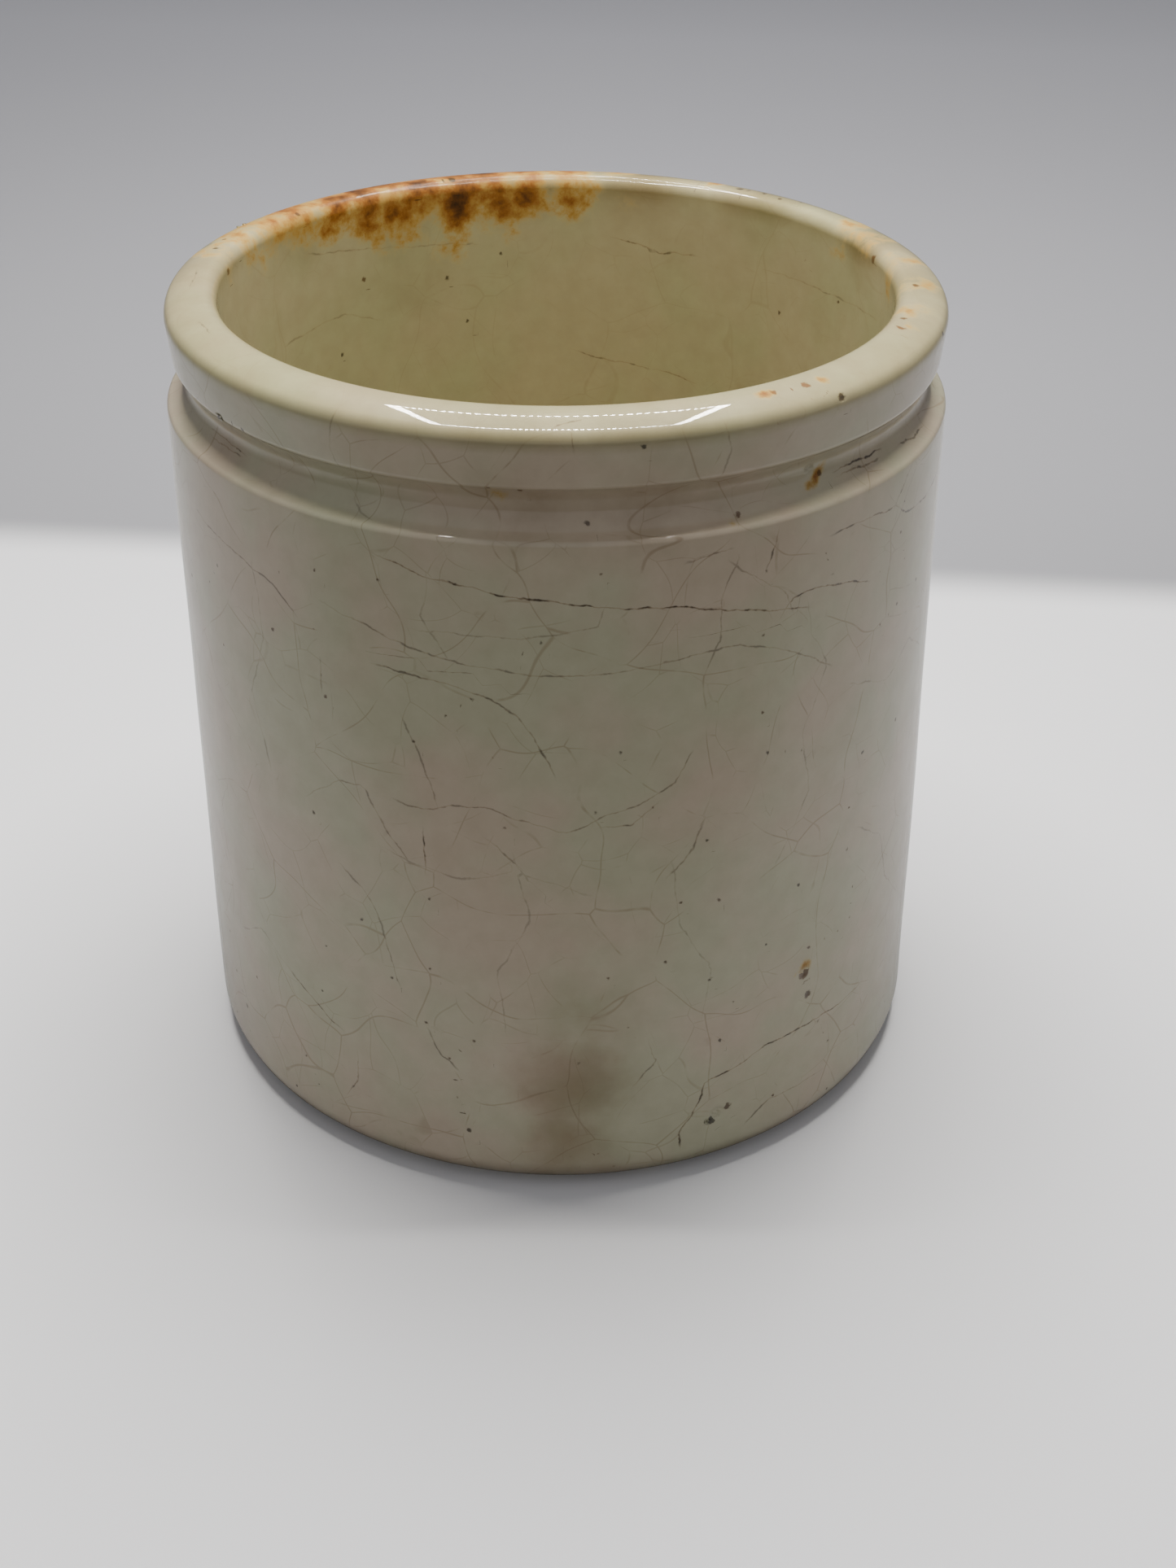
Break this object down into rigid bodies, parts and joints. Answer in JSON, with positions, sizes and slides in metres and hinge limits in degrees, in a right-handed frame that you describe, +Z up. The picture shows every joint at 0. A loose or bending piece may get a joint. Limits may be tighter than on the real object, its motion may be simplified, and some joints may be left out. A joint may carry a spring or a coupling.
{
  "type": "ceramic crock",
  "caption": "Straight-sided open crock of glazed ironstone with a thick rolled rim, a groove under it for tying down a cover, and a bare foot ring.",
  "frame": {"origin": "middle of the foot ring, on the surface that the crock stands on", "axes": "+Z up along the crock's axis, out of its mouth; -Y towards the side with the stain low on the wall"},
  "size_m": [0.0978, 0.0978, 0.1044],
  "materials": {
    "clay": "matt",
    "glaze": "gloss"
  },
  "bodies": {
    "root": {"clay_body": "clay", "glaze_coat": "glaze"}
  },
  "joints": []
}
